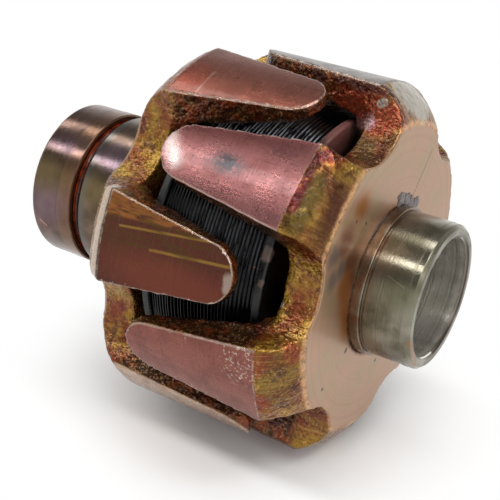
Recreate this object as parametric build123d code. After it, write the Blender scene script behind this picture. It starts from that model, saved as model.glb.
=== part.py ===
from build123d import *
import os
from math import radians, sin, tan

# Rotor of an alternator with two six-fingered claw pole pieces whose fingers interleave round a
# field coil, on a hollow shaft. All lengths are in millimetres.
# The shaft lies along X with the collared front end at +X. The origin is on its axis, midway
# between the flat faces of the pole pieces, and the rotor lies on its fingers with +Z up.

# Pole pieces
pole_radius = 50.0
finger_count = 6
disc_thickness = 9.8
shoulder_length = 8.9
shoulder_drop = 9.4
shoulder_bulge = 1.2
tip_setback = 8.0
finger_root_width = 23.5
finger_taper = 8.1
finger_tip_radius = 7.2
finger_tip_thickness = 3.4
web_radius = 4.0
notch_radius = 14.6
notch_floor_radius = 37.3

# Field coil on its core, between fibre washers
core_radius = 24.0
sleeve_wall = 1.5
coil_end_radius = 38.2
coil_crown = 1.6
coil_flank_length = 6.0
coil_length = 30.0
washer_thickness = 2.2
washer_lip = 0.8
washer_to_disc = 4.7
washer_to_finger = 0.6

# Hollow shaft, with a bearing seat turned on its front end
shaft_bore_radius = 15.85
shaft_radius = 19.9
shaft_shoulder = 2.7
collar_radius = 19.2
collar_length = 13.3
relief_width = 0.6
relief_depth = 0.35
rim_chamfer = 0.9
mouth_chamfer = 0.5

# Rings on the rear end of the shaft
neck_radius = 22.2
neck_length = 21.3
neck_bevel = 0.8
groove_width = 2.3
groove_depth = 1.8
drum_radius = 22.4
drum_length = 14.4
drum_rim_chamfer = 1.0

# Clearance drawn at a press fit, in the radius or along the shaft
press_gap = 0.02
# How far a blank or a cutter runs past the surface that trims it
spare = 1.0

# Places that follow from the sizes above
disc_back_x = coil_length / 2 + washer_thickness + washer_to_disc
face_x = disc_back_x + disc_thickness
root_x = face_x - shoulder_length
tip_x = tip_setback - root_x
pole_angle = 360 / finger_count
front_first_angle = pole_angle / 4
hub_radius = shaft_radius + press_gap
blank_radius = pole_radius + spare
washer_radius = coil_end_radius + washer_lip
shoulder_x = face_x + shaft_shoulder
front_end_x = shoulder_x + collar_length
neck_end_x = -face_x - neck_length
groove_end_x = neck_end_x - groove_width
rear_end_x = groove_end_x - drum_length


def ring(x_low, x_high, inner_radius, outer_radius):
    """A plain ring about the shaft's axis."""
    with BuildPart() as made:
        with BuildSketch(Plane.XY):
            with Locations(((x_low + x_high) / 2, (inner_radius + outer_radius) / 2)):
                Rectangle(x_high - x_low, outer_radius - inner_radius)
        revolve(axis=Axis.X)
    return made.part


def turned(points):
    """A ring turned from a closed outline of (x, radius) corners."""
    with BuildPart() as made:
        with BuildSketch(Plane.XY):
            with BuildLine():
                Polyline(*points, close=True)
            make_face()
        revolve(axis=Axis.X)
    return made.part


def around(solid, angle):
    """The solid turned about the shaft from straight up, towards +Y."""
    return Rot(-angle, 0, 0) * solid


def pole_envelope():
    """Everything inside the turned outside of a pole piece, with its rounded shoulder."""
    shoulder_start = Vector(root_x, pole_radius)
    shoulder_end = Vector(face_x, pole_radius - shoulder_drop)
    run = shoulder_end - shoulder_start
    outward = Vector(-run.Y, run.X).normalized()
    middle = (shoulder_start + shoulder_end) * 0.5 + outward * shoulder_bulge
    start_x = tip_x - spare
    with BuildPart() as made:
        with BuildSketch(Plane.XY):
            with BuildLine():
                Line((start_x, hub_radius), (start_x, pole_radius))
                Line((start_x, pole_radius), shoulder_start)
                ThreePointArc(shoulder_start, middle, shoulder_end)
                Line(shoulder_end, (face_x, hub_radius))
                Line((face_x, hub_radius), (start_x, hub_radius))
            make_face()
        revolve(axis=Axis.X)
    return made.part


def finger():
    """One tapered finger pointing away from the plate, on top of the rotor, not yet turned."""
    end_x = disc_back_x + spare
    half_root = finger_root_width / 2
    slope = radians(finger_taper)
    # The sides run straight from the root to the round tip
    join_x = tip_x + finger_tip_radius * (1 - sin(slope))
    join_y = half_root - (root_x - join_x) * tan(slope)
    tip_under = pole_radius - finger_tip_thickness
    root_under = washer_radius + washer_to_finger
    with BuildPart() as made:
        # Outline seen from outside, square to the shaft
        with BuildSketch(Plane.XY):
            with BuildLine():
                Polyline(
                    (join_x, join_y),
                    (root_x, half_root),
                    (end_x, half_root),
                    (end_x, -half_root),
                    (root_x, -half_root),
                    (join_x, -join_y),
                )
                ThreePointArc((join_x, join_y), (tip_x, 0), (join_x, -join_y))
            make_face()
        extrude(amount=blank_radius)
        # Side view: thin at the tip, with a round web where it meets the plate
        with BuildSketch(Plane.XZ):
            with BuildLine():
                Polyline(
                    (disc_back_x - web_radius, root_under),
                    (tip_x - spare, tip_under),
                    (tip_x - spare, blank_radius),
                    (end_x, blank_radius),
                    (end_x, root_under - web_radius),
                    (disc_back_x, root_under - web_radius),
                )
                RadiusArc(
                    (disc_back_x - web_radius, root_under),
                    (disc_back_x, root_under - web_radius),
                    -web_radius,
                )
            make_face()
        extrude(amount=finger_root_width, both=True, mode=Mode.INTERSECT)
    return made.part


def notch():
    """The round scoop between two fingers, on top of the rotor."""
    centre_radius = notch_floor_radius + notch_radius
    with BuildPart() as made:
        with BuildSketch(Plane.YZ.offset(disc_back_x - spare)):
            with Locations((0, centre_radius)):
                Circle(notch_radius)
            with Locations((0, centre_radius + notch_radius)):
                Rectangle(2 * notch_radius, 2 * notch_radius)
        extrude(amount=disc_thickness + 2 * spare)
    return made.part


def claw_pole():
    """The front pole piece: a plate with its fingers, all one forging."""
    body = ring(disc_back_x, face_x, hub_radius, blank_radius)
    for number in range(finger_count):
        turn = front_first_angle + number * pole_angle
        body -= around(notch(), turn + pole_angle / 2)
    for number in range(finger_count):
        body += around(finger(), front_first_angle + number * pole_angle)
    return body & pole_envelope()


def coil_washer(x_low):
    """A fibre washer at one end of the winding."""
    return ring(x_low, x_low + washer_thickness, core_radius + press_gap, washer_radius)


def field_coil(inner_radius):
    """The winding, crowned in the middle where the fingers leave more room."""
    half_length = coil_length / 2
    half_crown = half_length - coil_flank_length
    crown_radius = coil_end_radius + coil_crown
    return turned(
        [
            (-half_length, inner_radius),
            (-half_length, coil_end_radius),
            (-half_crown, crown_radius),
            (half_crown, crown_radius),
            (half_length, coil_end_radius),
            (half_length, inner_radius),
        ]
    )


def hollow_shaft():
    """The shaft, shouldered in front of the plate, with a relief groove behind its bearing seat."""
    return turned(
        [
            (rear_end_x, shaft_bore_radius + mouth_chamfer),
            (rear_end_x, shaft_radius),
            (shoulder_x, shaft_radius),
            (shoulder_x, collar_radius - relief_depth),
            (shoulder_x + relief_width, collar_radius - relief_depth),
            (shoulder_x + relief_width, collar_radius),
            (front_end_x - rim_chamfer, collar_radius),
            (front_end_x, collar_radius - rim_chamfer),
            (front_end_x, shaft_bore_radius + mouth_chamfer),
            (front_end_x - mouth_chamfer, shaft_bore_radius),
            (rear_end_x + mouth_chamfer, shaft_bore_radius),
        ]
    )


def rear_neck():
    """The ring between the rear plate and the groove, bevelled towards the groove."""
    return turned(
        [
            (neck_end_x, hub_radius),
            (neck_end_x, neck_radius - neck_bevel),
            (neck_end_x + neck_bevel, neck_radius),
            (-face_x - press_gap, neck_radius),
            (-face_x - press_gap, hub_radius),
        ]
    )


def rear_drum():
    """The outer ring at the rear end, with its outer rim broken."""
    return turned(
        [
            (rear_end_x, hub_radius),
            (rear_end_x, drum_radius - drum_rim_chamfer),
            (rear_end_x + drum_rim_chamfer, drum_radius),
            (groove_end_x, drum_radius),
            (groove_end_x, hub_radius),
        ]
    )


front_claw = claw_pole()
half_coil = coil_length / 2
sleeve_inner = core_radius + press_gap
sleeve_outer = sleeve_inner + sleeve_wall
core_reach = disc_back_x - press_gap
washer_x = half_coil + press_gap

nodes = {
    "front_claw_pole": front_claw,
    "rear_claw_pole": Rot(0, 0, 180) * front_claw,
    "field_core": ring(-core_reach, core_reach, hub_radius, core_radius),
    "insulating_sleeve": ring(-half_coil, half_coil, sleeve_inner, sleeve_outer),
    "front_coil_washer": coil_washer(washer_x),
    "rear_coil_washer": coil_washer(-washer_x - washer_thickness),
    "field_coil": field_coil(sleeve_outer + press_gap),
    "hollow_shaft": hollow_shaft(),
    "rear_neck_ring": rear_neck(),
    "rear_groove_ring": ring(
        groove_end_x + press_gap, neck_end_x - press_gap, hub_radius, drum_radius - groove_depth
    ),
    "rear_drum": rear_drum(),
}

os.makedirs("parts", exist_ok=True)
for name, solid in nodes.items():
    export_step(solid, f"parts/{name}.step")
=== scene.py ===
import math

import bmesh
import bpy
import numpy as np
from mathutils import Matrix, Vector


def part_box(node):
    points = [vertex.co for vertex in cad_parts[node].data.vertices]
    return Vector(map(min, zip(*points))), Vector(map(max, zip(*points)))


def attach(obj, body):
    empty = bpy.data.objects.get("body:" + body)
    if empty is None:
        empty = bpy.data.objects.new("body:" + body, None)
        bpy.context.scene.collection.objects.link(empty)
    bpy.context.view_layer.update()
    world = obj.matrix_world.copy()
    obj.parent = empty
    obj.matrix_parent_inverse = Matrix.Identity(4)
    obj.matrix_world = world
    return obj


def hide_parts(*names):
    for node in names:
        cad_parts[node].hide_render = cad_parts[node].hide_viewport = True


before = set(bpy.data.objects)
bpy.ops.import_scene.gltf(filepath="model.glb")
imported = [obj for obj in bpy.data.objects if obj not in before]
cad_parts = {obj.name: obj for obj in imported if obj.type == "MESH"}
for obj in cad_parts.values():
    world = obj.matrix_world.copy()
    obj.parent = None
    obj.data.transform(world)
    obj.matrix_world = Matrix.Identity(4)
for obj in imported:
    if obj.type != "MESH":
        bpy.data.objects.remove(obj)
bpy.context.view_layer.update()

# Millimetres in Blender's metres
MM = 0.001


def node_range(node):
    """The node's lowest and highest corner, in millimetres."""
    low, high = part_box(node)
    return low / MM, high / MM


# Where the nodes lie, in millimetres, read from the frame
CLAW_LOW, CLAW_HIGH = node_range("front_claw_pole")
COIL_LOW, COIL_HIGH = node_range("field_coil")
SHAFT_LOW, SHAFT_HIGH = node_range("hollow_shaft")
NECK_LOW, NECK_HIGH = node_range("rear_neck_ring")
GROOVE_LOW, GROOVE_HIGH = node_range("rear_groove_ring")
DRUM_LOW, DRUM_HIGH = node_range("rear_drum")

# Pole pieces
FACE_X = CLAW_HIGH.x
TIP_X = CLAW_LOW.x
POLE_RADIUS = CLAW_HIGH.y
SHOULDER_LENGTH = 8.9
SHOULDER_DROP = 9.4
ROOT_X = FACE_X - SHOULDER_LENGTH
FACE_EDGE_RADIUS = POLE_RADIUS - SHOULDER_DROP
HUB_RADIUS = 19.92
POLE_STEP = 60.0
FRONT_FIRST_ANGLE = 15.0
FINGER_ROOT_HALF = 11.75
FINGER_TAPER = math.radians(8.1)
FINGER_TIP_RADIUS = 7.375
FINGER_JOIN_X = -8.6

# Winding and its washers
COIL_CROWN_RADIUS = COIL_HIGH.y
COIL_CROWN = 1.6
COIL_FLANK = 6.0
COIL_INNER_RADIUS = 25.6
WASHER_INNER_RADIUS = 24.02

# Shaft and the rings on it
SHAFT_RADIUS = SHAFT_HIGH.y
BORE_RADIUS = 15.85
COLLAR_RADIUS = 19.2
COLLAR_WEAR = 0.07
SHOULDER_X = 34.4
RELIEF_WIDTH = 0.6
RELIEF_DEPTH = 0.35
NECK_RADIUS = NECK_HIGH.y
NECK_BEVEL = 0.85
DRUM_RADIUS = DRUM_HIGH.y
DRUM_WEAR = 0.1

# The photograph's camera
CAMERA_AZIMUTH = 30.364
CAMERA_ELEVATION = 26.204
CAMERA_ROLL = 4.506
CAMERA_DISTANCE = 301.58
CAMERA_TARGET = Vector((-6.36, -4.92, -2.09))
CAMERA_LENS = 80.08
CAMERA_SENSOR = 36.0


def link(piece):
    bpy.context.scene.collection.objects.link(piece)
    return piece


def direction(azimuth, elevation):
    """Unit vector from the rotor towards a place round it."""
    a = math.radians(azimuth)
    e = math.radians(elevation)
    return Vector((math.sin(a) * math.cos(e), -math.cos(a) * math.cos(e), math.sin(e)))


def make_camera():
    camera = link(bpy.data.objects.new("camera", bpy.data.cameras.new("camera")))
    back = direction(CAMERA_AZIMUTH, CAMERA_ELEVATION)
    camera.location = (CAMERA_TARGET + back * CAMERA_DISTANCE) * MM
    level = (-back).to_track_quat("-Z", "Y").to_matrix()
    camera.rotation_euler = (level @ Matrix.Rotation(math.radians(CAMERA_ROLL), 3, "Z")).to_euler()
    camera.data.lens = CAMERA_LENS
    camera.data.sensor_width = CAMERA_SENSOR
    camera.data.clip_start = 0.01
    bpy.context.scene.camera = camera


# Meshes as numbers

# Whole numbers that scatter a lattice point and a seed
LATTICE_STEPS = np.array((374761393, 668265263, 2147483647))
SEED_STEP = 144665
STIR = 1274126177
LOW_BITS = 0xFFFF


def bumps(points, cell, seed):
    """Smooth noise from -1 to 1 at each point, with lumps about one cell wide."""
    places = points / cell
    base = np.floor(places).astype(np.int64)
    part = places - base
    part = part * part * (3 - 2 * part)
    total = np.zeros(len(points))
    for corner in np.ndindex(2, 2, 2):
        mixed = (base + np.array(corner)) @ LATTICE_STEPS + seed * SEED_STEP
        mixed = (mixed ^ (mixed >> 13)) * STIR
        mixed = (mixed ^ (mixed >> 16)) & LOW_BITS
        weight = np.prod(np.where(np.array(corner) == 1, part, 1 - part), axis=1)
        total += (mixed / (LOW_BITS / 2) - 1) * weight
    return total


def read(items, key, width, kind=float):
    """A row of numbers for each vertex or edge."""
    values = np.empty(len(items) * width, kind)
    items.foreach_get(key, values)
    return values.reshape(-1, width)


def write_points(mesh, points):
    mesh.vertices.foreach_set("co", (points * MM).ravel())
    mesh.update()


def neighbour_mean(values, edges):
    """For each point, the mean of the values at the points that an edge joins to it."""
    count = np.bincount(edges.ravel(), minlength=len(values))
    ends = np.concatenate((edges[:, 0], edges[:, 1]))
    others = np.concatenate((edges[:, 1], edges[:, 0]))
    total = np.empty_like(values)
    for column in range(values.shape[1]):
        total[:, column] = np.bincount(ends, values[others, column], len(values))
    return total / count[:, None]


def mesh_of(bm, name):
    mesh = bpy.data.meshes.new(name)
    bm.to_mesh(mesh)
    bm.free()
    return mesh


def placed(name, mesh, node=None):
    """The mesh as a piece of the rotor, in place of a node where it stands for one."""
    mesh.shade_smooth()
    piece = link(bpy.data.objects.new(name, mesh))
    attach(piece, "root")
    if node:
        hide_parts(node)
    return piece


# Forgings: grid of the new mesh, how it is worked, and how near a machined surface counts as on it
CLAW_GRID = 0.56
EDGE_ROUNDS = 3
EDGE_STEP = 0.5
FILLET_ROUNDS = 14
FILLET_STEP = 0.8
ROUNDS_PER_NORMALS = 5
FADE_ROUNDS = 9
MACHINED_REACH = 0.34
# Height and width of the lumps in the skin
SKIN_LUMPS = ((0.15, 5.0), (0.14, 2.1), (0.1, 1.2))


def snap_machined(points):
    """Puts the turned outside, the flat face and the bore back on their true surfaces."""
    radius = np.hypot(points[:, 1], points[:, 2])
    outside = (radius > POLE_RADIUS - MACHINED_REACH) & (points[:, 0] < ROOT_X + 0.1)
    face = (points[:, 0] > FACE_X - MACHINED_REACH) & (radius < FACE_EDGE_RADIUS - 0.2)
    bore = radius < HUB_RADIUS + MACHINED_REACH
    points[outside, 1:] *= (POLE_RADIUS / radius[outside])[:, None]
    points[face, 0] = FACE_X
    points[bore, 1:] *= (HUB_RADIUS / radius[bore])[:, None]
    return outside | face | bore


def gridded(node, name):
    """The node's mesh made again with an even grid."""
    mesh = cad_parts[node].data.copy()
    bm = bmesh.new()
    bm.from_mesh(mesh)
    bmesh.ops.remove_doubles(bm, verts=bm.verts, dist=0.01 * MM)
    bm.to_mesh(mesh)
    bm.free()
    coarse = link(bpy.data.objects.new(name + "_coarse", mesh))
    remesh = coarse.modifiers.new("grid", "REMESH")
    remesh.mode = "VOXEL"
    remesh.voxel_size = CLAW_GRID * MM
    shaped = coarse.evaluated_get(bpy.context.evaluated_depsgraph_get())
    made = bpy.data.meshes.new_from_object(shaped)
    bpy.data.objects.remove(coarse)
    made.name = name
    return made


def forged_claw(node, name, side, seed):
    """The pole piece with rounded edges, filled corners and the rough skin of a forging."""
    made = gridded(node, name)
    # The rear claw is worked as the front one turned round
    turn = np.array((side, side, 1.0))
    points = read(made.vertices, "co", 3) / MM * turn
    edges = read(made.edges, "vertices", 2, np.int64)
    for _ in range(EDGE_ROUNDS):
        points += EDGE_STEP * (neighbour_mean(points, edges) - points)
    machined = snap_machined(points)

    def normals_now():
        write_points(made, points * turn)
        return read(made.vertices, "normal", 3) * turn

    # Corners fill in, where the surface is hollow
    for number in range(FILLET_ROUNDS):
        if number % ROUNDS_PER_NORMALS == 0:
            normals = normals_now()
        pull = neighbour_mean(points, edges) - points
        hollow = np.clip(np.sum(pull * normals, axis=1), 0, None)
        hollow[machined] = 0
        points += FILLET_STEP * hollow[:, None] * normals
    # The skin of the forging, fading out at the machined surfaces
    normals = normals_now()
    free = (~machined).astype(float)[:, None]
    for _ in range(FADE_ROUNDS):
        free = np.minimum(free, neighbour_mean(free, edges))
    skin = np.zeros(len(points))
    for number, (height, cell) in enumerate(SKIN_LUMPS):
        skin += height * bumps(points, cell, seed + number)
    points += skin[:, None] * free * normals
    radius = np.hypot(points[:, 1], points[:, 2])
    points[:, 1:] *= np.minimum(1, POLE_RADIUS / radius)[:, None]
    points[:, 0] = np.minimum(points[:, 0], FACE_X)
    write_points(made, points * turn)
    return placed(name, made, node)


# Turned pieces

ARC_STEPS = 4
# How far outside an arc the next point lies, to keep the flats flat
FLAT_GUARD = 0.06


def rounded(corners):
    """Outline of (x, radius) points with each corner (x, radius, fillet) rounded off."""
    outline = []
    count = len(corners)
    for index, (x, r, fillet) in enumerate(corners):
        here = Vector((x, r))
        if fillet == 0:
            outline.append(tuple(here))
            continue
        before = (Vector(corners[index - 1][:2]) - here).normalized()
        after = (Vector(corners[(index + 1) % count][:2]) - here).normalized()
        half = before.angle(after) / 2
        reach = fillet / math.tan(half)
        centre = here + (before + after).normalized() * (fillet / math.sin(half))
        start = here + before * reach
        end = here + after * reach
        outline.append(tuple(start + before * FLAT_GUARD))
        for step in range(ARC_STEPS + 1):
            chord = start.lerp(end, step / ARC_STEPS) - centre
            outline.append(tuple(centre + chord.normalized() * fillet))
        outline.append(tuple(end + after * FLAT_GUARD))
    return outline


def swept(name, outlines):
    """A closed skin through outlines of (x, radius) points that stand evenly round the shaft."""
    bm = bmesh.new()
    count = len(outlines)
    rings = []
    for number, outline in enumerate(outlines):
        angle = 2 * math.pi * number / count
        s, c = math.sin(angle), math.cos(angle)
        rings.append([bm.verts.new((x * MM, r * s * MM, r * c * MM)) for x, r in outline])
    for number, near in enumerate(rings):
        far = rings[(number + 1) % count]
        for index in range(len(near)):
            after = (index + 1) % len(near)
            bm.faces.new((near[index], near[after], far[after], far[index]))
    bmesh.ops.recalc_face_normals(bm, faces=bm.faces)
    return mesh_of(bm, name)


def lathe(name, node, corners, segments=224):
    """A ring turned about the shaft from (x, radius, fillet) corners."""
    return placed(name, swept(name, [rounded(corners)] * segments), node)


def make_shaft():
    front, rear = SHAFT_HIGH.x, SHAFT_LOW.x
    relief = COLLAR_RADIUS - RELIEF_DEPTH
    worn = COLLAR_RADIUS - COLLAR_WEAR
    corners = [
        (rear, BORE_RADIUS + 0.5, 0.1),
        (rear, SHAFT_RADIUS, 0),
        (SHOULDER_X, SHAFT_RADIUS, 0.35),
        (SHOULDER_X, relief, 0.1),
        (SHOULDER_X + RELIEF_WIDTH, relief, 0.1),
        (SHOULDER_X + RELIEF_WIDTH + 0.15, COLLAR_RADIUS, 0.1),
        (front - 2.6, COLLAR_RADIUS, 0.05),
        (front - 2.5, worn, 0.05),
        (front - 1.0, worn, 0.35),
        (front, COLLAR_RADIUS - 0.95, 0.3),
        (front, BORE_RADIUS + 0.6, 0.25),
        (front - 0.7, BORE_RADIUS, 0.2),
        (front - 9.0, BORE_RADIUS, 0),
        (rear + 0.5, BORE_RADIUS, 0.2),
    ]
    return lathe("turned_shaft", "hollow_shaft", corners, 288)


def make_neck():
    low, high = NECK_LOW.x, NECK_HIGH.x
    corners = [
        (low, HUB_RADIUS, 0),
        (low, NECK_RADIUS - NECK_BEVEL, 0.2),
        (low + NECK_BEVEL, NECK_RADIUS, 0.4),
        (high, NECK_RADIUS, 0.2),
        (high, HUB_RADIUS, 0),
    ]
    return lathe("turned_neck", "rear_neck_ring", corners)


def make_groove():
    low, high = GROOVE_LOW.x, GROOVE_HIGH.x
    edge = GROOVE_HIGH.y
    corners = [
        (low, HUB_RADIUS, 0),
        (low, edge, 0),
        ((low + high) / 2, edge - 0.25, 1.5),
        (high, edge, 0),
        (high, HUB_RADIUS, 0),
    ]
    return lathe("varnished_groove", "rear_groove_ring", corners)


def make_drum():
    low, high = DRUM_LOW.x, DRUM_HIGH.x
    worn = DRUM_RADIUS - DRUM_WEAR
    corners = [
        (low, HUB_RADIUS, 0),
        (low, DRUM_RADIUS - 1.3, 0.4),
        (low + 1.1, worn, 0.9),
        (high - 4.8, worn, 0.05),
        (high - 4.7, DRUM_RADIUS, 0.05),
        (high - 0.3, DRUM_RADIUS, 0.15),
        (high, DRUM_RADIUS - 0.4, 0.15),
        (high, HUB_RADIUS, 0),
    ]
    return lathe("turned_drum", "rear_drum", corners)


def make_washer(node, name):
    low, high = node_range(node)
    corners = [
        (low.x, WASHER_INNER_RADIUS, 0),
        (low.x, high.y, 0.3),
        (high.x, high.y, 0.6),
        (high.x, WASHER_INNER_RADIUS, 0),
    ]
    return lathe(name, node, corners, 160)


# The winding: turns of wire side by side, pressed a little unevenly
WIRE_PITCH = 1.0
WIRE_SINK = 0.62
WIRE_SEGMENTS = 288
WIRE_STEPS = 8
# How far turns wander, in waves round the shaft, and how far at most outwards
WAVES = (1, 2, 3, 5, 8)
WAVE_HEIGHT = 0.05
MOST_LIFT = 0.1
# The first and last turn lie against a washer, so they wander this much as far
END_TURN_SHARE = 0.2


def coil_radius(x):
    """Radius over the wires at a place along the shaft."""
    end = COIL_HIGH.x - abs(x)
    return COIL_CROWN_RADIUS - COIL_CROWN * (1 - min(1.0, end / COIL_FLANK))


def wandering(turns):
    """How far each turn lies out of place, outwards and along the shaft, all the way round."""
    rng = np.random.default_rng(7)
    angles = np.linspace(0, 2 * math.pi, WIRE_SEGMENTS, endpoint=False)
    lift = np.zeros((turns, WIRE_SEGMENTS))
    shift = np.zeros((turns, WIRE_SEGMENTS))
    for turn in range(turns):
        for wave in WAVES:
            phases = rng.uniform(0, 2 * math.pi, 2)
            for rows, phase in zip((lift, shift), phases):
                height = rng.normal(0, WAVE_HEIGHT) / wave**0.5
                rows[turn] += height * np.sin(wave * angles + phase)
    shift[[0, -1]] *= END_TURN_SHARE
    return np.minimum(MOST_LIFT, lift), shift


def wound_coil():
    turns = int(round((COIL_HIGH.x - COIL_LOW.x) / WIRE_PITCH))
    lift, shift = wandering(turns)
    half = WIRE_PITCH / 2
    outlines = []
    for column in range(WIRE_SEGMENTS):
        outline = [(COIL_LOW.x, COIL_INNER_RADIUS)]
        for turn in range(turns):
            middle = COIL_LOW.x + (turn + 0.5) * WIRE_PITCH
            base = coil_radius(middle) - WIRE_SINK + lift[turn, column]
            for step in range(WIRE_STEPS):
                bend = math.pi * (step + 0.5) / WIRE_STEPS
                x = middle + shift[turn, column] - half * math.cos(bend)
                x = min(max(x, COIL_LOW.x), COIL_HIGH.x)
                outline.append((x, base + half * math.sin(bend)))
        outline.append((COIL_HIGH.x, COIL_INNER_RADIUS))
        outlines.append(outline)
    return placed("wound_wire", swept("wound_wire", outlines), "field_coil")


# Steps that spread numbers between 0 and 1 without lining up
SPREAD_STEPS = (0.618, 0.755, 0.37)
SMEAR_DROPS = 30


def make_drops():
    """Beads of old sealant along the foot of the collar, and a smear of it on top."""
    # Radius and angle of each drop's place, and its size
    drops = [(20.25, angle, 0.4) for angle in range(-36, -15, 2)]
    for number in range(SMEAR_DROPS):
        out, along, bigger = (number * step % 1 for step in SPREAD_STEPS)
        drops.append((20.3 + 1.9 * out, 6 + 38 * along, 1.1 + 0.6 * bigger))
    bm = bmesh.new()
    for radius, angle, size in drops:
        made = bmesh.ops.create_icosphere(bm, subdivisions=2, radius=size * MM)["verts"]
        # Each drop stands out by no more than 0.3 mm
        bmesh.ops.scale(bm, verts=made, vec=(min(0.5, 0.3 / size), 1.0, 1.0))
        centre = Vector(place(FACE_X, angle, radius)) * MM
        bmesh.ops.translate(bm, verts=made, vec=centre)
    return placed("sealant_drops", mesh_of(bm, "sealant_drops"))


def make_stage():
    bm = bmesh.new()
    bmesh.ops.create_grid(bm, x_segments=1, y_segments=1, size=3.0)
    floor = link(bpy.data.objects.new("floor", mesh_of(bm, "floor")))
    floor.location.z = -POLE_RADIUS * MM
    return floor


def place(x, angle, radius):
    """A point of the rotor from its place along the shaft, angle from straight up and radius."""
    t = math.radians(angle)
    return (x, radius * math.sin(t), radius * math.cos(t))


make_camera()
floor = make_stage()
front_claw = forged_claw("front_claw_pole", "front_forging", 1.0, 11)
rear_claw = forged_claw("rear_claw_pole", "rear_forging", -1.0, 47)
coil = wound_coil()
shaft = make_shaft()
neck = make_neck()
groove = make_groove()
drum = make_drum()
front_washer = make_washer("front_coil_washer", "front_fibre_washer")
rear_washer = make_washer("rear_coil_washer", "rear_fibre_washer")
drops = make_drops()

# Materials

# How far the edge of a dab wanders
RAGGED = 1.2
# Length of one degree on the outside of a finger, near enough
DEGREE_LENGTH = 0.87


def tone(red, green, blue):
    """A colour given as it looks on a screen, 0 to 255, in Blender's linear numbers."""
    parts = (red, green, blue)
    return (*(((v / 255 + 0.055) / 1.055) ** 2.4 if v > 10 else v / 3294 for v in parts), 1.0)


class Nodes:
    """A node tree, with a method for each sum that is done in it."""

    def __init__(self, tree):
        self.tree = tree

    def join(self, value, socket):
        """Gives the socket another node's output or a plain value."""
        if isinstance(value, bpy.types.NodeSocket):
            self.tree.links.new(value, socket)
        else:
            socket.default_value = value

    def add(self, kind, *values, **settings):
        """A new node with its first inputs joined to the values."""
        node = self.tree.nodes.new("ShaderNode" + kind)
        for name, setting in settings.items():
            setattr(node, name, setting)
        for value, socket in zip(values, node.inputs):
            self.join(value, socket)
        return node

    def math(self, operation, a, b=0.0, clamp=False):
        return self.add("Math", a, b, operation=operation, use_clamp=clamp).outputs[0]

    def square(self, value):
        return self.math("MULTIPLY", value, value)

    def vector(self, operation, a, b=(0.0, 0.0, 0.0)):
        node = self.add("VectorMath", a, b, operation=operation)
        return node.outputs["Value" if operation in ("DOT_PRODUCT", "LENGTH") else "Vector"]

    def split(self, value):
        return self.add("SeparateXYZ", value).outputs

    def combine(self, x, y, z):
        return self.add("CombineXYZ", x, y, z).outputs[0]

    def map(self, value, low, high, first, last):
        """From first to last, smoothly, as the value goes from low to high."""
        node = self.add("MapRange", value, low, high, first, last, interpolation_type="SMOOTHSTEP")
        return node.outputs[0]

    def rise(self, value, low, high):
        """0 below low and 1 above high."""
        return self.map(value, low, high, 0.0, 1.0)

    def fall(self, value, low, high):
        """1 below low and 0 above high."""
        return self.map(value, low, high, 1.0, 0.0)

    def fold(self, operation, values):
        result = values[0]
        for value in values[1:]:
            result = self.math(operation, result, value)
        return result

    def both(self, *masks):
        return self.fold("MULTIPLY", masks)

    def either(self, *masks):
        return self.fold("MAXIMUM", masks)

    def total(self, *values):
        return self.fold("ADD", values)

    def without(self, mask):
        return self.math("SUBTRACT", 1.0, mask)

    def mix(self, factor, a, b):
        node = self.add("Mix", factor, data_type="RGBA")
        self.join(a, node.inputs[6])
        self.join(b, node.inputs[7])
        return node.outputs[2]

    def stain(self, colour, tint, *masks):
        """The colour with a tint laid over it as far as all the masks allow."""
        return self.mix(self.both(*masks), colour, tint)


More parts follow.
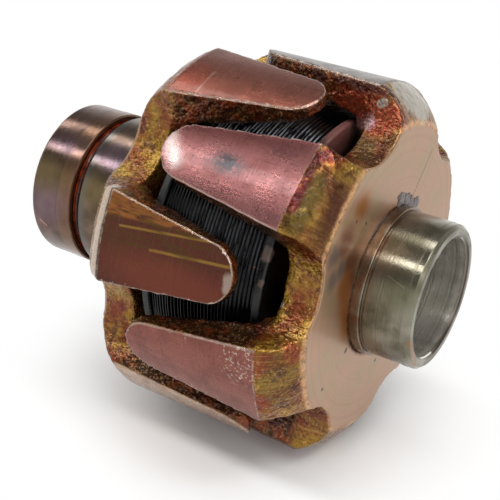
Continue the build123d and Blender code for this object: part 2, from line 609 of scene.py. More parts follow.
class Paint(Nodes):
    """One material's nodes. Every length is in millimetres in the rotor's own frame."""

    def __init__(self, name, side=1.0):
        self.material = bpy.data.materials.new(name)
        self.material.use_nodes = True
        super().__init__(self.material.node_tree)
        self.shader = self.tree.nodes["Principled BSDF"]
        coordinates = self.add("TexCoord").outputs
        self.normal = coordinates["Normal"]
        self.point = self.vector("MULTIPLY", coordinates["Object"], (1 / MM,) * 3)
        scaled = self.vector("MULTIPLY", self.point, (1 / 3.0,) * 3)
        drift = self.vector("MULTIPLY", self.raw_noise(scaled, 3.0, 0.6)[1], (2 * RAGGED,) * 3)
        self.ragged = self.vector("ADD", self.point, self.vector("SUBTRACT", drift, (RAGGED,) * 3))
        # The claw's own frame: the rear claw is the front one turned round
        self.x, self.y, self.z = self.split(self.vector("MULTIPLY", self.point, (side, side, 1.0)))
        self.radius = self.math("SQRT", self.math("ADD", self.square(self.y), self.square(self.z)))
        self.angle = self.math("DEGREES", self.math("ARCTAN2", self.y, self.z))
        # Along the shaft and round it
        self.unrolled = self.combine(self.x, 0.0, self.math("MULTIPLY", self.angle, DEGREE_LENGTH))

    def raw_noise(self, vector, detail, rough):
        node = self.add("TexNoise")
        settings = (("Vector", vector), ("Scale", 1.0), ("Detail", detail), ("Roughness", rough))
        for name, value in settings:
            self.join(value, node.inputs[name])
        return node.outputs

    def noise(self, size, seed, detail=3.0, rough=0.6, at=None):
        """Noise about 0.5, with lumps of the given size along x, y and z."""
        sizes = size if isinstance(size, tuple) else (size,) * 3
        scaled = self.vector("MULTIPLY", at or self.point, tuple(1 / s for s in sizes))
        moved = self.vector("ADD", scaled, (seed, seed * 1.7, -seed))
        return self.raw_noise(moved, detail, rough)[0]

    def dab(self, x, angle, radius, along, across, edge=0.35):
        """A soft ragged spot round a point, so long along the shaft and so wide across it."""
        away = self.vector("SUBTRACT", self.ragged, place(x, angle, radius))
        scaled = self.vector("MULTIPLY", away, (1 / along, 1 / across, 1 / across))
        return self.fall(self.vector("LENGTH", scaled), 1 - edge, 1 + edge)

    def stroke(self, start, end, width, soft=0.5):
        """A line from one (x, angle, radius) to another."""
        a = Vector(place(*start))
        run = Vector(place(*end)) - a
        away = self.vector("SUBTRACT", self.point, tuple(a))
        part = self.vector("DOT_PRODUCT", away, tuple(run / run.length_squared))
        part = self.math("MULTIPLY", part, 1.0, clamp=True)
        foot = self.vector("MULTIPLY", self.combine(part, part, part), tuple(run))
        gap = self.vector("LENGTH", self.vector("SUBTRACT", away, foot))
        return self.fall(gap, width * (1 - soft) / 2, width * (1 + soft) / 2)

    def band(self, start, end, soft=0.3):
        """Everything between two places along the shaft."""
        return self.both(
            self.rise(self.x, start - soft, start + soft),
            self.fall(self.x, end - soft, end + soft),
        )

    def steps(self, value, stops):
        """A colour for each range of the value, from 0 to 1, with no blending."""
        node = self.add("ValToRGB", value)
        node.color_ramp.interpolation = "CONSTANT"
        elements = node.color_ramp.elements
        elements[0].position, elements[0].color = stops[0]
        elements[1].position, elements[1].color = stops[1]
        for position, colour in stops[2:]:
            elements.new(position).color = colour
        return node.outputs[0]

    def relief(self, height, socket):
        bump = self.add("Bump")
        for name, value in (("Strength", 1.0), ("Distance", MM), ("Height", height)):
            self.join(value, bump.inputs[name])
        self.join(bump.outputs[0], self.shader.inputs[socket])

    def set(self, name, value):
        self.shader.inputs[name].default_value = value

    def finish(self, colour, rough, metal, height):
        for name, value in (("Base Color", colour), ("Roughness", rough), ("Metallic", metal)):
            self.join(value, self.shader.inputs[name])
        self.relief(height, "Normal")
        return self.material


# Colours of the pole pieces, as they look in even light
ROSE = tone(144, 94, 92)
MAUVE = tone(133, 76, 60)
BROWN_RED = tone(82, 38, 20)
ROSE_RED = tone(134, 76, 64)
TAN = tone(178, 141, 112)
GREY_TAN = tone(98, 86, 76)
NOTCH_RED = tone(124, 40, 18)
VARNISH_DARK = tone(30, 10, 6)
MAROON = tone(78, 30, 24)
DARK_MAROON = tone(48, 20, 16)
ORANGE_AMBER = tone(66, 28, 0)
YELLOW_OLIVE = tone(68, 52, 0)
DEEP_RED = tone(70, 0, 2)
STAIN_AMBER = tone(158, 90, 0)
STAIN_BROWN = tone(108, 50, 20)
SMEAR_GREY = tone(104, 92, 92)
FACE_OLIVE = tone(160, 144, 104)
BEIGE = tone(174, 139, 112)
RUST_BROWN = tone(116, 50, 18)
BROWN_GOLD = tone(148, 112, 34)
PAINTED_LILAC_HIGHLIGHT = tone(176, 148, 158)
WORN = tone(186, 170, 156)
SPECK = tone(36, 18, 16)
PALE_GOLD = tone(240, 196, 130)
RIM_GOLD = tone(214, 164, 116)
BARE_GREY = tone(158, 152, 138)
BRUISE_GREY = tone(62, 62, 66)
TIP_HIGHLIGHT = tone(232, 224, 218)
STRIP_AMBER = tone(150, 92, 38)
LINE_GOLD = tone(150, 116, 44)
RUDDY = tone(120, 54, 38)
BRICK = tone(132, 60, 42)
SCRAPED_DARK = tone(150, 132, 116)
SCRAPED_PALE = tone(214, 190, 166)
CRACK_GREY = tone(70, 64, 60)

# Radii over which one skin of a claw gives way to the next
TURNED_EDGE = (49.35, 49.8)
WALL_EDGE = (49.2, 49.8)
FACE_EDGE = (40.0, 41.0)

# The lit finger's shoulder, as a dab: its varnish is thick and smooth
LIT_SHOULDER = (26.0, -46, 46, 8.0, 12.0)


def finger_edge(p):
    """Distance in from the outline of a finger, over its turned outside."""
    turn = p.math("SUBTRACT", p.angle, FRONT_FIRST_ANGLE - POLE_STEP / 2)
    near = p.math("SUBTRACT", p.math("FLOORED_MODULO", turn, POLE_STEP), POLE_STEP / 2)
    across = p.math("MULTIPLY", p.radius, p.math("SINE", p.math("RADIANS", near)))
    taper = p.math("MULTIPLY", p.math("SUBTRACT", p.x, ROOT_X), math.tan(FINGER_TAPER))
    half = p.math("ADD", FINGER_ROOT_HALF, p.math("MINIMUM", taper, 0.0))
    side = p.math("SUBTRACT", half, p.math("ABSOLUTE", across))
    out = p.math("SUBTRACT", p.x, TIP_X + FINGER_TIP_RADIUS)
    reach = p.math("SQRT", p.math("ADD", p.square(out), p.square(across)))
    tip = p.math("SUBTRACT", FINGER_TIP_RADIUS, reach)
    at_tip = p.math("LESS_THAN", p.x, FINGER_JOIN_X)
    return p.total(p.both(tip, at_tip), p.both(side, p.without(at_tip)))


def claw_iron(name, side, tints, turned_end, details):
    p = Paint(name, side)
    edge = finger_edge(p)
    past_end = p.math("SUBTRACT", p.x, turned_end(p))
    outside = p.both(
        p.rise(p.radius, *TURNED_EDGE),
        p.fall(past_end, -0.2, 0.2),
    )
    face = p.both(
        p.rise(p.x, FACE_X - 0.6, FACE_X - 0.05),
        p.fall(p.radius, *FACE_EDGE),
    )
    forged = p.without(p.either(outside, face))

    # Turned outside of the fingers
    turned = p.math("DIVIDE", p.math("ADD", p.angle, 180.0), 360.0)
    skin = p.steps(turned, tints)
    broad = p.noise(7.0, 3)
    fine = p.noise(0.45, 9, rough=0.65)
    lines = p.noise((16.0, 1.0, 0.7), 5, at=p.unrolled)
    turning = p.noise((0.3, 1.0, 9.0), 7, rough=0.7, at=p.unrolled)
    skin = p.stain(skin, MAROON, p.rise(broad, 0.42, 0.7), 0.35)
    skin = p.stain(skin, DARK_MAROON, p.rise(lines, 0.52, 0.72), 0.2)
    skin = p.stain(skin, DARK_MAROON, p.rise(turning, 0.52, 0.7), 0.3)
    skin = p.stain(skin, WORN, p.fall(turning, 0.3, 0.46), 0.06)
    skin = p.stain(skin, SPECK, p.rise(fine, 0.59, 0.66), 0.7)

    # Rough forged skin under varnish: brown gold with red and dark stains
    lumps = p.noise(7.0, 21)
    blotch = p.noise(4.0, 27)
    grain = p.noise(0.9, 13, rough=0.7)
    painted_glint_specks = p.noise(0.42, 17, detail=2.0)
    rough = p.mix(p.rise(lumps, 0.36, 0.64), RUST_BROWN, BROWN_GOLD)
    rough = p.stain(rough, MAROON, p.rise(blotch, 0.54, 0.64), 0.7)
    slope = p.both(p.rise(p.x, 20.0, 22.0), p.rise(p.radius, 39.0, 41.0))
    streak = p.noise((12.0, 1.0, 0.5), 33, rough=0.65, at=p.unrolled)
    rough = p.stain(rough, DARK_MAROON, slope, p.rise(streak, 0.5, 0.66), 0.42)
    rough = p.stain(rough, PALE_GOLD, slope, p.fall(streak, 0.34, 0.46), 0.2)
    # Darker over the side walls of the fingers
    wall = p.both(p.fall(p.x, 19.5, 23.0), p.fall(p.radius, *WALL_EDGE))
    dark_wall = p.mix(p.rise(blotch, 0.45, 0.65), DARK_MAROON, RUST_BROWN)
    rough = p.stain(rough, dark_wall, wall, 0.88)

    # Machined flat face with thin stain
    cloud = p.noise(9.0, 31, detail=4.0)
    rings = p.noise(0.5, 35, at=p.combine(p.radius, 0.0, 0.0))
    flat = p.mix(p.rise(cloud, 0.35, 0.68), BEIGE, TAN)
    flat = p.stain(flat, FACE_OLIVE, p.fall(cloud, 0.4, 0.52), 0.4)
    flat = p.stain(flat, MAUVE, p.rise(rings, 0.5, 0.7), 0.15)
    flat = p.stain(flat, MAUVE, p.rise(fine, 0.62, 0.74), 0.25)

    colour = p.mix(outside, rough, skin)
    colour = p.mix(face, colour, flat)
    colour, worn, smooth = details(p, colour, outside, face, forged)
    bumpy = p.both(forged, p.without(smooth))

    # Grain of the forging: dark varnish in the hollows, painted glints on the crests and in pale
    # specks
    patchy = p.noise(5.0, 97, detail=2.0, rough=0.5)
    grained = p.both(bumpy, p.map(patchy, 0.36, 0.64, 0.2, 0.85))
    colour = p.stain(colour, VARNISH_DARK, grained, p.fall(grain, 0.38, 0.5), 0.6)
    colour = p.stain(colour, PALE_GOLD, grained, p.rise(grain, 0.54, 0.64), 0.225)
    colour = p.stain(colour, PALE_GOLD, grained, p.rise(painted_glint_specks, 0.64, 0.7), 0.7)

    # Bright metal along the edges
    wander = p.noise(1.6, 41, rough=0.7)
    edge_line = p.both(outside, p.fall(edge, 0.15, 0.5), 0.5)
    chip_width = p.map(wander, 0.55, 0.75, 0.0, 1.0)
    chips = p.both(outside, p.math("LESS_THAN", edge, chip_width), 0.8)
    near_root = p.both(outside, p.rise(past_end, -0.5, -0.3), p.without(smooth))
    root_line = p.both(near_root, p.map(wander, 0.4, 0.6, 0.0, 0.5))
    rim = p.both(p.rise(p.x, FACE_X - 0.9, FACE_X - 0.3), p.without(face))
    colour = p.stain(colour, RIM_GOLD, rim, p.map(wander, 0.35, 0.6, 0.25, 0.9), 0.85)
    # Pale along edges, chips and worn places; on the front claw this also paints its glints, which
    # are painted highlights
    colour = p.stain(colour, WORN, p.either(edge_line, chips, root_line, worn))

    rough_level = p.total(
        p.both(outside, p.map(broad, 0.3, 0.7, 0.22, 0.36)),
        p.both(face, 0.42),
        p.both(forged, p.map(grain, 0.3, 0.7, 0.16, 0.34)),
    )
    metal = p.math("ADD", 0.7, p.both(p.without(forged), 0.15))
    lump = p.noise(1.3, 95, detail=1.0, rough=0.5)
    tool_marks = p.total(p.both(fine, 0.045), p.both(lines, 0.03), p.both(turning, 0.04))
    height = p.total(
        p.both(bumpy, p.total(p.both(lump, 0.45), p.both(grain, 0.1))),
        p.both(p.without(forged), tool_marks),
    )
    # Clear varnish with ripples of its own, on the smooth shoulder too
    rippled = p.both(forged, p.without(p.both(smooth, p.without(p.dab(*LIT_SHOULDER)))))
    p.set("Coat Weight", 0.25)
    p.set("Coat Roughness", 0.08)
    p.relief(p.both(lump, p.math("ADD", 0.02, p.both(rippled, 0.5))), "Coat Normal")
    p.set("Specular IOR Level", 0.3)
    return p.finish(colour, rough_level, metal, height)


def front_turned_end(p):
    """Where the turning stops along the shaft: short of the shoulder on the lit finger."""
    below = p.math("MINIMUM", p.math("ADD", p.angle, 43.7), 0.0)
    slant = p.total(22.3, p.both(below, 0.04), p.noise(1.3, 81))
    lit = p.both(p.rise(p.angle, -64.5, -64.0), p.fall(p.angle, -26.0, -25.5))
    return p.total(p.both(slant, lit), p.both(ROOT_X + 0.3, p.without(lit)))


def rear_turned_end(p):
    return ROOT_X + 0.3


def lit_shoulder_stains(p, colour, forged):
    """Dark red beside the turned part, gold in the middle and amber towards the face."""
    gold = p.either(
        p.stroke((25.4, -55.2, 48.5), (25.6, -49.7, 48), 5.0, 0.6),
        p.stroke((25.6, -49.7, 48), (25.8, -41.6, 47.5), 5.0, 0.6),
    )
    colour = p.stain(colour, YELLOW_OLIVE, gold, forged, 0.9)
    amber = p.stroke((31.1, -54.7, 43.5), (29.9, -41.0, 44), 7.0, 0.8)
    colour = p.stain(colour, ORANGE_AMBER, amber, forged, 0.85)
    red = p.either(
        p.stroke((23.1, -51.3, 49.5), (23.0, -43.3, 49), 3.2, 0.4),
        p.stroke((23.0, -43.3, 49), (22.7, -36.6, 49), 3.6, 0.4),
        p.stroke((22.7, -36.6, 49), (25.1, -33.0, 48), 3.6, 0.4),
    )
    return p.stain(colour, DEEP_RED, red, p.rise(p.noise(1.2, 84), 0.3, 0.4), forged, 0.95)


def upper_notch_stains(p, colour, forged):
    """Dark maroon towards the upper finger, olive and amber below, and painted lilac highlights.
    """
    maroon = p.either(p.dab(18.0, 1, 45, 8.0, 6.0), p.dab(25.0, -2, 43, 4.5, 5.0))
    colour = p.stain(colour, NOTCH_RED, maroon, forged, 0.8)
    dark = p.stroke((10.0, 1.5, 49), (29.0, 2.5, 48.5), 3.4, 0.6)
    colour = p.stain(colour, DARK_MAROON, dark, forged, 0.8)
    olive = p.either(p.dab(24.5, -12, 38, 3.0, 3.6), p.dab(27.0, -17, 38, 2.6, 3.0))
    colour = p.stain(colour, YELLOW_OLIVE, olive, forged, 0.8)
    amber = p.either(p.dab(30.0, -10, 39, 2.2, 4.0), p.dab(30.0, -19, 39, 2.2, 3.6))
    colour = p.stain(colour, ORANGE_AMBER, amber, forged, 0.8)
    # Painted highlights: lilac on lumps in the notch
    lilac_highlights = p.either(p.dab(19.6, -4, 40.3, 1.6, 2.0, 0.8), p.dab(22.4, -3, 41.2, 1.4, 1.8, 0.8))
    return p.stain(colour, PAINTED_LILAC_HIGHLIGHT, lilac_highlights, forged, 0.6)


def lower_shoulder_stains(p, colour, forged):
    """Gold with dark red stains."""
    gold = p.dab(27.5, -103, 45, 4.0, 9.0)
    colour = p.stain(colour, YELLOW_OLIVE, gold, forged, 0.4)
    red = p.either(
        p.dab(23.4, -97, 48, 2.0, 3.4),
        p.dab(24.0, -110, 48, 1.8, 3.0),
        p.dab(29.0, -93, 43, 3.0, 3.0),
    )
    return p.stain(colour, NOTCH_RED, red, forged, 0.75)


def face_stains(p, colour, face):
    """Runs and smears between the collar and the lit finger, a crack and pits."""
    brown = p.either(
        p.dab(FACE_X, -52.1, 33.3, 4.0, 4.0, 0.7),
        p.dab(FACE_X, -58.4, 26.0, 4.0, 4.4, 0.7),
        p.dab(FACE_X, -68.4, 23.7, 4.0, 4.0, 0.7),
    )
    colour = p.stain(colour, STAIN_BROWN, brown, face, 0.85)
    amber = p.either(
        p.dab(FACE_X, -35.4, 33.4, 4.0, 3.4, 0.8),
        p.stroke((FACE_X, -71.7, 25.7), (FACE_X, -106.0, 20.5), 6.0, 0.8),
    )
    colour = p.stain(colour, STAIN_AMBER, amber, face, 0.85)
    smear = p.either(
        p.dab(FACE_X, -59.5, 36.8, 4.0, 2.4, 0.8),
        p.dab(FACE_X, -64.5, 30.6, 4.0, 2.2, 0.8),
        p.dab(FACE_X, -68.2, 33.2, 4.0, 2.4, 0.8),
    )
    colour = p.stain(colour, SMEAR_GREY, smear, face, 0.75)
    foot = p.fall(p.radius, 20.4, 21.2)
    colour = p.stain(colour, STAIN_BROWN, face, foot, p.map(p.noise(2.0, 37), 0.4, 0.6, 0.2, 0.9))
    crack = p.stroke((FACE_X, 28.0, 22.0), (FACE_X, 33.0, 36.0), 0.35)
    colour = p.stain(colour, SPECK, crack, face, 0.7)
    # Angle, radius and size of each pit
    places = (
        (-124, 22.4, 0.8),
        (178, 25.1, 0.5),
        (-121.5, 35.0, 0.5),
        (-42, 32.2, 0.45),
        (-37, 27.0, 0.45),
        (2.5, 22.8, 0.5),
    )
    pits = p.either(*(p.dab(FACE_X, angle, radius, 2.0, size) for angle, radius, size in places))
    return p.stain(colour, SPECK, pits, face, 0.85)


def front_finger_marks(p, colour, outside):
    """Painted shade along the lit finger's upper edge, its grey bruise and a painted highlight on
    its tip.
    """
    # Painted shade: darker along the upper edge
    upper_edge_shade = p.stroke((-9, -36.5, 50), (19, -33.0, 50), 6.5, 0.8)
    colour = p.stain(colour, MAROON, upper_edge_shade, 0.6, outside)
    broken = p.rise(p.noise(0.9, 51, rough=0.7), 0.32, 0.48)
    bruise = p.dab(3.7, -44.9, 50, 4.4, 2.4, 0.7)
    colour = p.stain(colour, BRUISE_GREY, bruise, broken, outside, 0.95)
    # Painted highlight along the tip's edge
    tip = p.stroke((-15.0, -40.5, 50), (-9.5, -49.0, 50), 3.2, 1.0)
    return p.stain(colour, TIP_HIGHLIGHT, tip, outside, 0.4)


def front_details(p, colour, outside, face, forged):
    """Marks of the front claw: its colour, where it is worn or has painted glints, and where its
    forging is smooth.
    """
    colour = lit_shoulder_stains(p, colour, forged)
    colour = upper_notch_stains(p, colour, forged)
    # The far shoulder and a small patch in the notch are worn to grey metal
    smooth = p.dab(26.5, 16, 46.5, 5.5, 9.0, 0.15)
    patch = p.stroke((24.2, 0.2, 45.7), (25.0, 0.8, 46.1), 2.2, 0.2)
    patch = p.both(patch, p.map(p.noise(0.7, 83, detail=2.0), 0.4, 0.6, 0.5, 1.0))
    colour = p.stain(colour, BARE_GREY, p.either(smooth, patch), forged, 0.9)
    colour = lower_shoulder_stains(p, colour, forged)
    colour = face_stains(p, colour, face)
    colour = front_finger_marks(p, colour, outside)
    # Worn flecks and a scratch on the lower finger, and painted glints
    flecks = p.rise(p.noise(0.8, 61, rough=0.7), 0.56, 0.62)
    flecks = p.both(p.dab(19.0, -97, 50, 5.0, 6.5), flecks, 0.9, outside)
    scratch = p.both(p.stroke((4.0, -95.4, 50), (4.0, -114.5, 50), 0.25), outside, 0.6)
    # Place along the shaft, angle, radius and size of each painted glint
    places = (
        (21.6, -31.5, 49, 0.7),
        (24.9, -32.4, 47, 0.6),
        (22.4, -82.0, 38, 0.8),
        (25.4, -88.0, 38, 0.7),
    )
    painted_glints = p.either(*(p.dab(*spot, size, size, 0.2) for *spot, size in places))
    # The painted glints go in with the wear and take its pale colour
    worn = p.either(flecks, scratch, p.both(painted_glints, 0.9))
    return colour, worn, p.either(smooth, p.both(p.dab(*LIT_SHOULDER), 0.85))


def rear_details(p, colour, outside, face, forged):
    """Marks of the rear claw: its colour, where it is worn and where its forging is smooth."""
    # Side finger: an unturned gold strip along its upper edge, and gold streaks
    strip = p.both(p.stroke((-24, -64.8, 50), (4, -62.0, 50), 6.5, 0.15), outside)
    broken = p.fall(p.noise((3.0, 0.8, 0.8), 71, detail=2.0, rough=0.5), 0.5, 0.7)
    colour = p.stain(colour, STRIP_AMBER, strip, broken, 0.7)
    line = p.stroke((-18.1, -70.4, 50), (8.7, -66.3, 50), 0.6)
    second = p.stroke((-8.3, -74.1, 50), (13.6, -71.3, 50), 0.7)
    colour = p.stain(colour, LINE_GOLD, p.either(line, second), outside, 0.6)
    streaks = p.rise(p.noise((9.0, 0.8, 0.8), 73), 0.46, 0.62)
    colour = p.stain(colour, YELLOW_OLIVE, p.dab(-8, -70, 50, 16, 9), streaks, outside, 0.6)
    colour = p.stain(colour, RUDDY, p.dab(-2, -81, 50, 18, 5, 0.6), outside, 0.5)
    # Upper finger: redder patch and a pale line
    colour = p.stain(colour, BRICK, p.dab(-19.0, -20, 50, 4.0, 6.0), outside, 0.6)
    pale = p.stroke((-15.1, -16.3, 50), (-15.0, -26.8, 50), 0.5)
    worn = p.either(p.both(p.dab(13.9, -75.8, 50, 1.5, 2.6), 0.5), p.both(pale, 0.35))
    # Broken edge behind the side finger, scraped to pale metal, with a dark line before it
    side = p.both(
        p.rise(p.angle, 58.0, 60.0),
        p.fall(p.angle, 91.0, 93.0),
        p.rise(p.radius, 44.0, 45.0),
    )
    past_root = p.math("SUBTRACT", p.x, ROOT_X)
    scraped = p.both(side, p.rise(past_root, 0.6, 1.1), p.fall(past_root, 3.6, 4.4))
    bright = p.mix(p.noise(1.0, 85), SCRAPED_DARK, SCRAPED_PALE)
    colour = p.stain(colour, bright, scraped, 0.85)
    crack = p.both(side, p.rise(past_root, -0.1, 0.1), p.fall(past_root, 0.5, 1.0))
    colour = p.stain(colour, CRACK_GREY, crack, 0.8)
    return colour, p.both(worn, outside), scraped


def finger_tints(first, *others):
    """A colour for each finger, in the order of their angle from straight down in the claw's own
    frame. The first finger lies across the seam, so it comes again at the end."""
    stops = [(0.0, first)]
    stops += [((2 * number + 1) / 12, tint) for number, tint in enumerate((*others, first))]
    return stops


# The tints are partly each finger's own varnish and partly painted light and shade
FRONT_TINTS = finger_tints(MAUVE, ROSE_RED, ROSE, GREY_TAN, MAUVE, BROWN_RED)
REAR_TINTS = finger_tints(MAUVE, BROWN_RED, MAUVE, MAUVE, BROWN_RED, TAN)


def collar_marks(p, shade):
    """Varnish in the collar's foot, a painted olive reflection, a brown lip, painted shade in the
    mouth and scratches.
    """
    foot = p.map(p.noise(3.0, 14), 0.35, 0.6, 0.15, 0.85)
    shade = p.stain(shade, tone(112, 70, 40), p.band(FACE_X, 35.4, 0.15), foot, 0.7)
    # Painted reflection: an olive band on the lower side
    shade = p.stain(shade, tone(84, 84, 54), p.dab(42.0, -66.0, 19.2, 6.0, 6.0, 0.8), 0.6)
    lip = p.stroke((47.3, -105.0, 18.0), (47.3, -140.0, 18.0), 1.6)
    shade = p.stain(shade, tone(150, 92, 40), lip, 0.6)
    # Painted shade: darker on part of the mouth's rim
    mouth = p.both(
        p.band(46.9, 48.5, 0.2),
        p.fall(p.radius, 16.8, 17.4),
        p.rise(p.angle, 10.0, 50.0),
    )
    shade = p.stain(shade, tone(70, 56, 44), mouth, 0.85)
    scratches = p.either(
        p.stroke((36, 5, 19.2), (36.5, -14, 19.2), 0.2),
        p.stroke((39, -58, 19.2), (44, -63, 19.2), 0.25),
    )
    return p.stain(shade, tone(206, 198, 184), scratches, 0.2)


def drum_marks(p, shade):
    """A brown band towards the groove, a painted lilac highlight with painted violet and olive
    reflections, and a pink scratch.
    """
    shade = p.stain(shade, tone(124, 92, 66), p.band(-60.1, -55.2, 0.1), 0.5)
    shade = p.stain(shade, tone(50, 36, 28), p.band(-60.3, -60.0, 0.1), 0.6)
    # Painted lilac highlight on the upper side and a painted violet reflection lower down
    violet = p.either(
        p.dab(-64.0, -88.0, 22.4, 6.0, 6.0, 0.8),
        p.dab(-63.0, -42.0, 22.4, 6.0, 3.0, 0.8),
    )
    shade = p.stain(shade, tone(126, 106, 118), violet, 0.5)
    # Painted olive reflection
    shade = p.stain(shade, tone(96, 86, 44), p.dab(-65.0, -66.0, 22.4, 6.0, 5.0, 0.8), 0.6)
    scratch = p.stroke((-66.6, -104.0, 22.4), (-64.6, -108.0, 22.4), 0.5)
    return p.stain(shade, tone(206, 150, 136), scratch, 0.7)


def neck_marks(p, shade):
    """Grey blue near the groove, a painted violet highlight above and a painted olive reflection
    below.
    """
    shade = p.stain(shade, tone(96, 98, 94), p.band(-53.2, -50.2, 0.6), 0.6)
    # Painted violet highlight, then a painted olive reflection
    shade = p.stain(shade, tone(128, 108, 124), p.dab(-46.0, -42.0, 22.2, 5.0, 4.0, 0.8), 0.6)
    return p.stain(shade, tone(104, 92, 50), p.dab(-48.0, -66.0, 22.2, 5.0, 5.0, 0.8), 0.5)


def turned_steel(name, colour, dark, rough, marks_of=None, bore=None):
    """Steel turned on a lathe, with its shine drawn out across the tool marks."""
    p = Paint(name)
    marks = p.noise((0.35, 400.0, 400.0), 2, rough=0.7)
    broad = p.noise(8.0, 8)
    fine = p.noise(0.5, 4)
    shade = p.mix(p.rise(broad, 0.35, 0.7), colour, dark)
    shade = p.stain(shade, dark, p.rise(marks, 0.5, 0.75), 0.35)
    shade = p.stain(shade, SPECK, p.rise(fine, 0.64, 0.74), 0.3)
    if bore:
        # Inside the bore the steel is painted near white: painted light
        inside = p.fall(p.radius, BORE_RADIUS + 0.2, BORE_RADIUS + 0.4)
        shade = p.stain(shade, p.mix(p.rise(marks, 0.45, 0.7), bore, colour), inside)
    if marks_of:
        shade = marks_of(p, shade)
    level = p.map(p.math("ADD", marks, broad), 0.7, 1.3, rough - 0.08, rough + 0.1)
    p.set("Anisotropic", 0.75)
    p.set("Anisotropic Rotation", 0.25)
    p.join(p.add("Tangent", axis="X").outputs[0], p.shader.inputs["Tangent"])
    height = p.math("ADD", p.both(marks, 0.04), p.both(fine, 0.02))
    return p.finish(shade, level, 0.9, height)


def enamel_wire():
    p = Paint("black_enamelled_wire")
    blotch = p.noise(4.0, 6)
    fine = p.noise((3.0, 0.6, 0.6), 12, detail=2.0)
    colour = p.mix(p.rise(blotch, 0.4, 0.7), tone(2, 2, 3), tone(8, 7, 7))
    copper = p.dab(14.2, -72.0, 39.0, 0.8, 0.8, 0.2)
    colour = p.stain(colour, tone(150, 86, 52), copper, 0.8)
    # Painted highlights on the wires' crests where they show between the upper fingers, and faint
    # ones in the side gap
    outwards = p.vector("NORMALIZE", p.combine(0.0, p.y, p.z))
    crest = p.rise(p.vector("DOT_PRODUCT", p.normal, outwards), 0.82, 0.95)
    highlight_breaks = p.rise(p.noise((0.6, 5.0, 5.0), 15, detail=2.0), 0.4, 0.56)
    upper = p.dab(4.0, -28.0, 38.6, 16.0, 8.5, 0.5)
    side = p.both(p.dab(6.0, -62.0, 38.6, 12.0, 12.0, 0.6), 0.08)
    colour = p.stain(colour, tone(214, 216, 226), crest, highlight_breaks, p.either(upper, side))
    p.set("Specular IOR Level", 0.2)
    return p.finish(colour, p.map(blotch, 0.3, 0.7, 0.1, 0.22), 0.0, p.both(fine, 0.03))


def fibre():
    """Board black with varnish and painted shade, its own pinkish brown showing only in the upper
    notch where light reaches it, with paper stuck on at the side.
    """
    p = Paint("varnished_fibre_board")
    blotch = p.noise(2.5, 6)
    fine = p.noise((1.2, 0.4, 0.4), 12)
    colour = p.mix(p.rise(blotch, 0.4, 0.65), tone(5, 4, 4), tone(16, 11, 10))
    paper = p.either(
        p.dab(16.5, -66.0, 39.0, 2.6, 1.8, 0.2),
        p.both(p.dab(16.7, -76.3, 39.0, 0.9, 0.9, 0.2), 0.8),
    )
    colour = p.stain(colour, p.mix(fine, tone(70, 52, 44), tone(112, 92, 80)), paper, 0.8)
    # The board's own colour where it is lit; the black elsewhere is partly painted shade
    bare = p.mix(blotch, tone(84, 48, 44), tone(118, 74, 68))
    colour = p.stain(colour, bare, p.dab(16.0, -8.0, 37.5, 6.0, 7.0))
    return p.finish(colour, p.map(fine, 0.3, 0.7, 0.25, 0.5), 0.0, p.both(fine, 0.08))


def groove_varnish():
    p = Paint("dark_red_varnish")
    blotch = p.noise(2.5, 6)
    colour = p.mix(p.rise(blotch, 0.35, 0.7), tone(34, 8, 8), tone(74, 18, 10))
    edges = p.without(p.band(-54.9, -53.4, 0.25))
    colour = p.stain(colour, tone(176, 70, 20), edges, p.map(blotch, 0.35, 0.6, 0.3, 0.9))
    return p.finish(colour, 0.25, 0.1, p.both(blotch, 0.1))


def sealant():
    p = Paint("old_sealant")
    blotch = p.noise(0.9, 6)
    colour = p.mix(p.rise(blotch, 0.35, 0.65), tone(58, 46, 46), tone(104, 88, 84))
    return p.finish(colour, 0.3, 0.0, p.both(blotch, 0.15))


def cover(piece, material):
    piece.data.materials.clear()
    piece.data.materials.append(material)


# Each steel's colour and its darker shade
BARE_STEEL = (tone(146, 141, 126), tone(98, 93, 76))
DRUM_STEEL = (tone(116, 92, 82), tone(74, 54, 42))
NECK_STEEL = (tone(118, 98, 84), tone(76, 62, 48))
# Near white for inside the bore: painted light
PAINTED_LIGHT_BORE = tone(240, 236, 228)

cover(front_claw, claw_iron("front_claw_iron", 1.0, FRONT_TINTS, front_turned_end, front_details))
cover(rear_claw, claw_iron("rear_claw_iron", -1.0, REAR_TINTS, rear_turned_end, rear_details))
cover(shaft, turned_steel("bare_shaft_steel", *BARE_STEEL, 0.2, collar_marks, PAINTED_LIGHT_BORE))
cover(drum, turned_steel("drum_steel", *DRUM_STEEL, 0.18, drum_marks))
cover(neck, turned_steel("neck_steel", *NECK_STEEL, 0.18, neck_marks))
cover(coil, enamel_wire())
fibre_board = fibre()
cover(front_washer, fibre_board)
cover(rear_washer, fibre_board)
cover(groove, groove_varnish())
cover(drops, sealant())
core_iron = turned_steel("varnished_core_iron", MAROON, DARK_MAROON, 0.4)
for node in ("field_core", "insulating_sleeve"):
    cover(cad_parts[node], core_iron)

# Studio


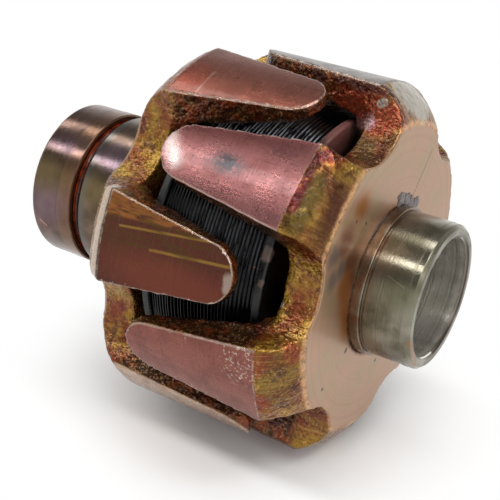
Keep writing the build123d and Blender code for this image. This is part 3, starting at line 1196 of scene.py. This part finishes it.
def lamp(name, azimuth, elevation, distance, wide, tall, power, shift=0.0):
    """A soft box facing the rotor, moved along the shaft by the shift."""
    data = bpy.data.lights.new(name, "AREA")
    data.shape = "RECTANGLE"
    data.size = wide
    data.size_y = tall
    data.energy = power
    light = link(bpy.data.objects.new(name, data))
    towards = direction(azimuth, elevation)
    light.location = towards * distance + Vector((shift, 0, 0))
    light.rotation_euler = towards.to_track_quat("Z", "Y").to_euler()


# Two long soft boxes along the shaft
lamp("long_soft_light", 0, 60.3, distance=1.0, wide=2.6, tall=0.16, power=8.6, shift=-0.7)
lamp("narrow_top_light", 180, 77, distance=1.0, wide=2.6, tall=0.2, power=7.6, shift=-0.7)
# A small one for glints, and a fill for the flat face
lamp("front_glint", 83, 58, distance=1.2, wide=0.4, tall=0.3, power=3.2)
lamp("front_fill", 64, 40, distance=1.2, wide=0.8, tall=0.8, power=2.9)


def make_world():
    """White all round, dimmer overhead."""
    world = bpy.data.worlds.new("studio")
    bpy.context.scene.world = world
    world.use_nodes = True
    nodes = Nodes(world.node_tree)
    background = nodes.tree.nodes["Background"]
    background.inputs["Color"].default_value = (1, 1, 1, 1)
    up = nodes.split(nodes.add("TexCoord").outputs["Generated"])[2]
    nodes.join(nodes.map(up, 0.3, 0.6, 1.0, 0.22), background.inputs["Strength"])


def floor_white():
    """White floor with the rotor's soft shadow near it and plain white further off."""
    material = bpy.data.materials.new("white_floor")
    material.use_nodes = True
    nodes = Nodes(material.node_tree)
    shader = nodes.tree.nodes["Principled BSDF"]
    shader.inputs["Base Color"].default_value = (0.94, 0.94, 0.94, 1)
    shader.inputs["Roughness"].default_value = 1.0
    shader.inputs["Specular IOR Level"].default_value = 0.0
    white = nodes.add("Emission")
    white.inputs["Strength"].default_value = 1.0
    distance = nodes.vector("LENGTH", nodes.add("TexCoord").outputs["Object"])
    far = nodes.rise(distance, 0.035, 0.085)
    ray = nodes.add("LightPath").outputs
    seen = nodes.either(ray["Is Camera Ray"], ray["Is Glossy Ray"], ray["Is Transmission Ray"])
    shared = nodes.add("MixShader", nodes.both(seen, far), shader.outputs[0], white.outputs[0])
    nodes.join(shared.outputs[0], nodes.tree.nodes["Material Output"].inputs["Surface"])
    return material


make_world()
cover(floor, floor_white())
bpy.context.scene.view_settings.view_transform = "Standard"
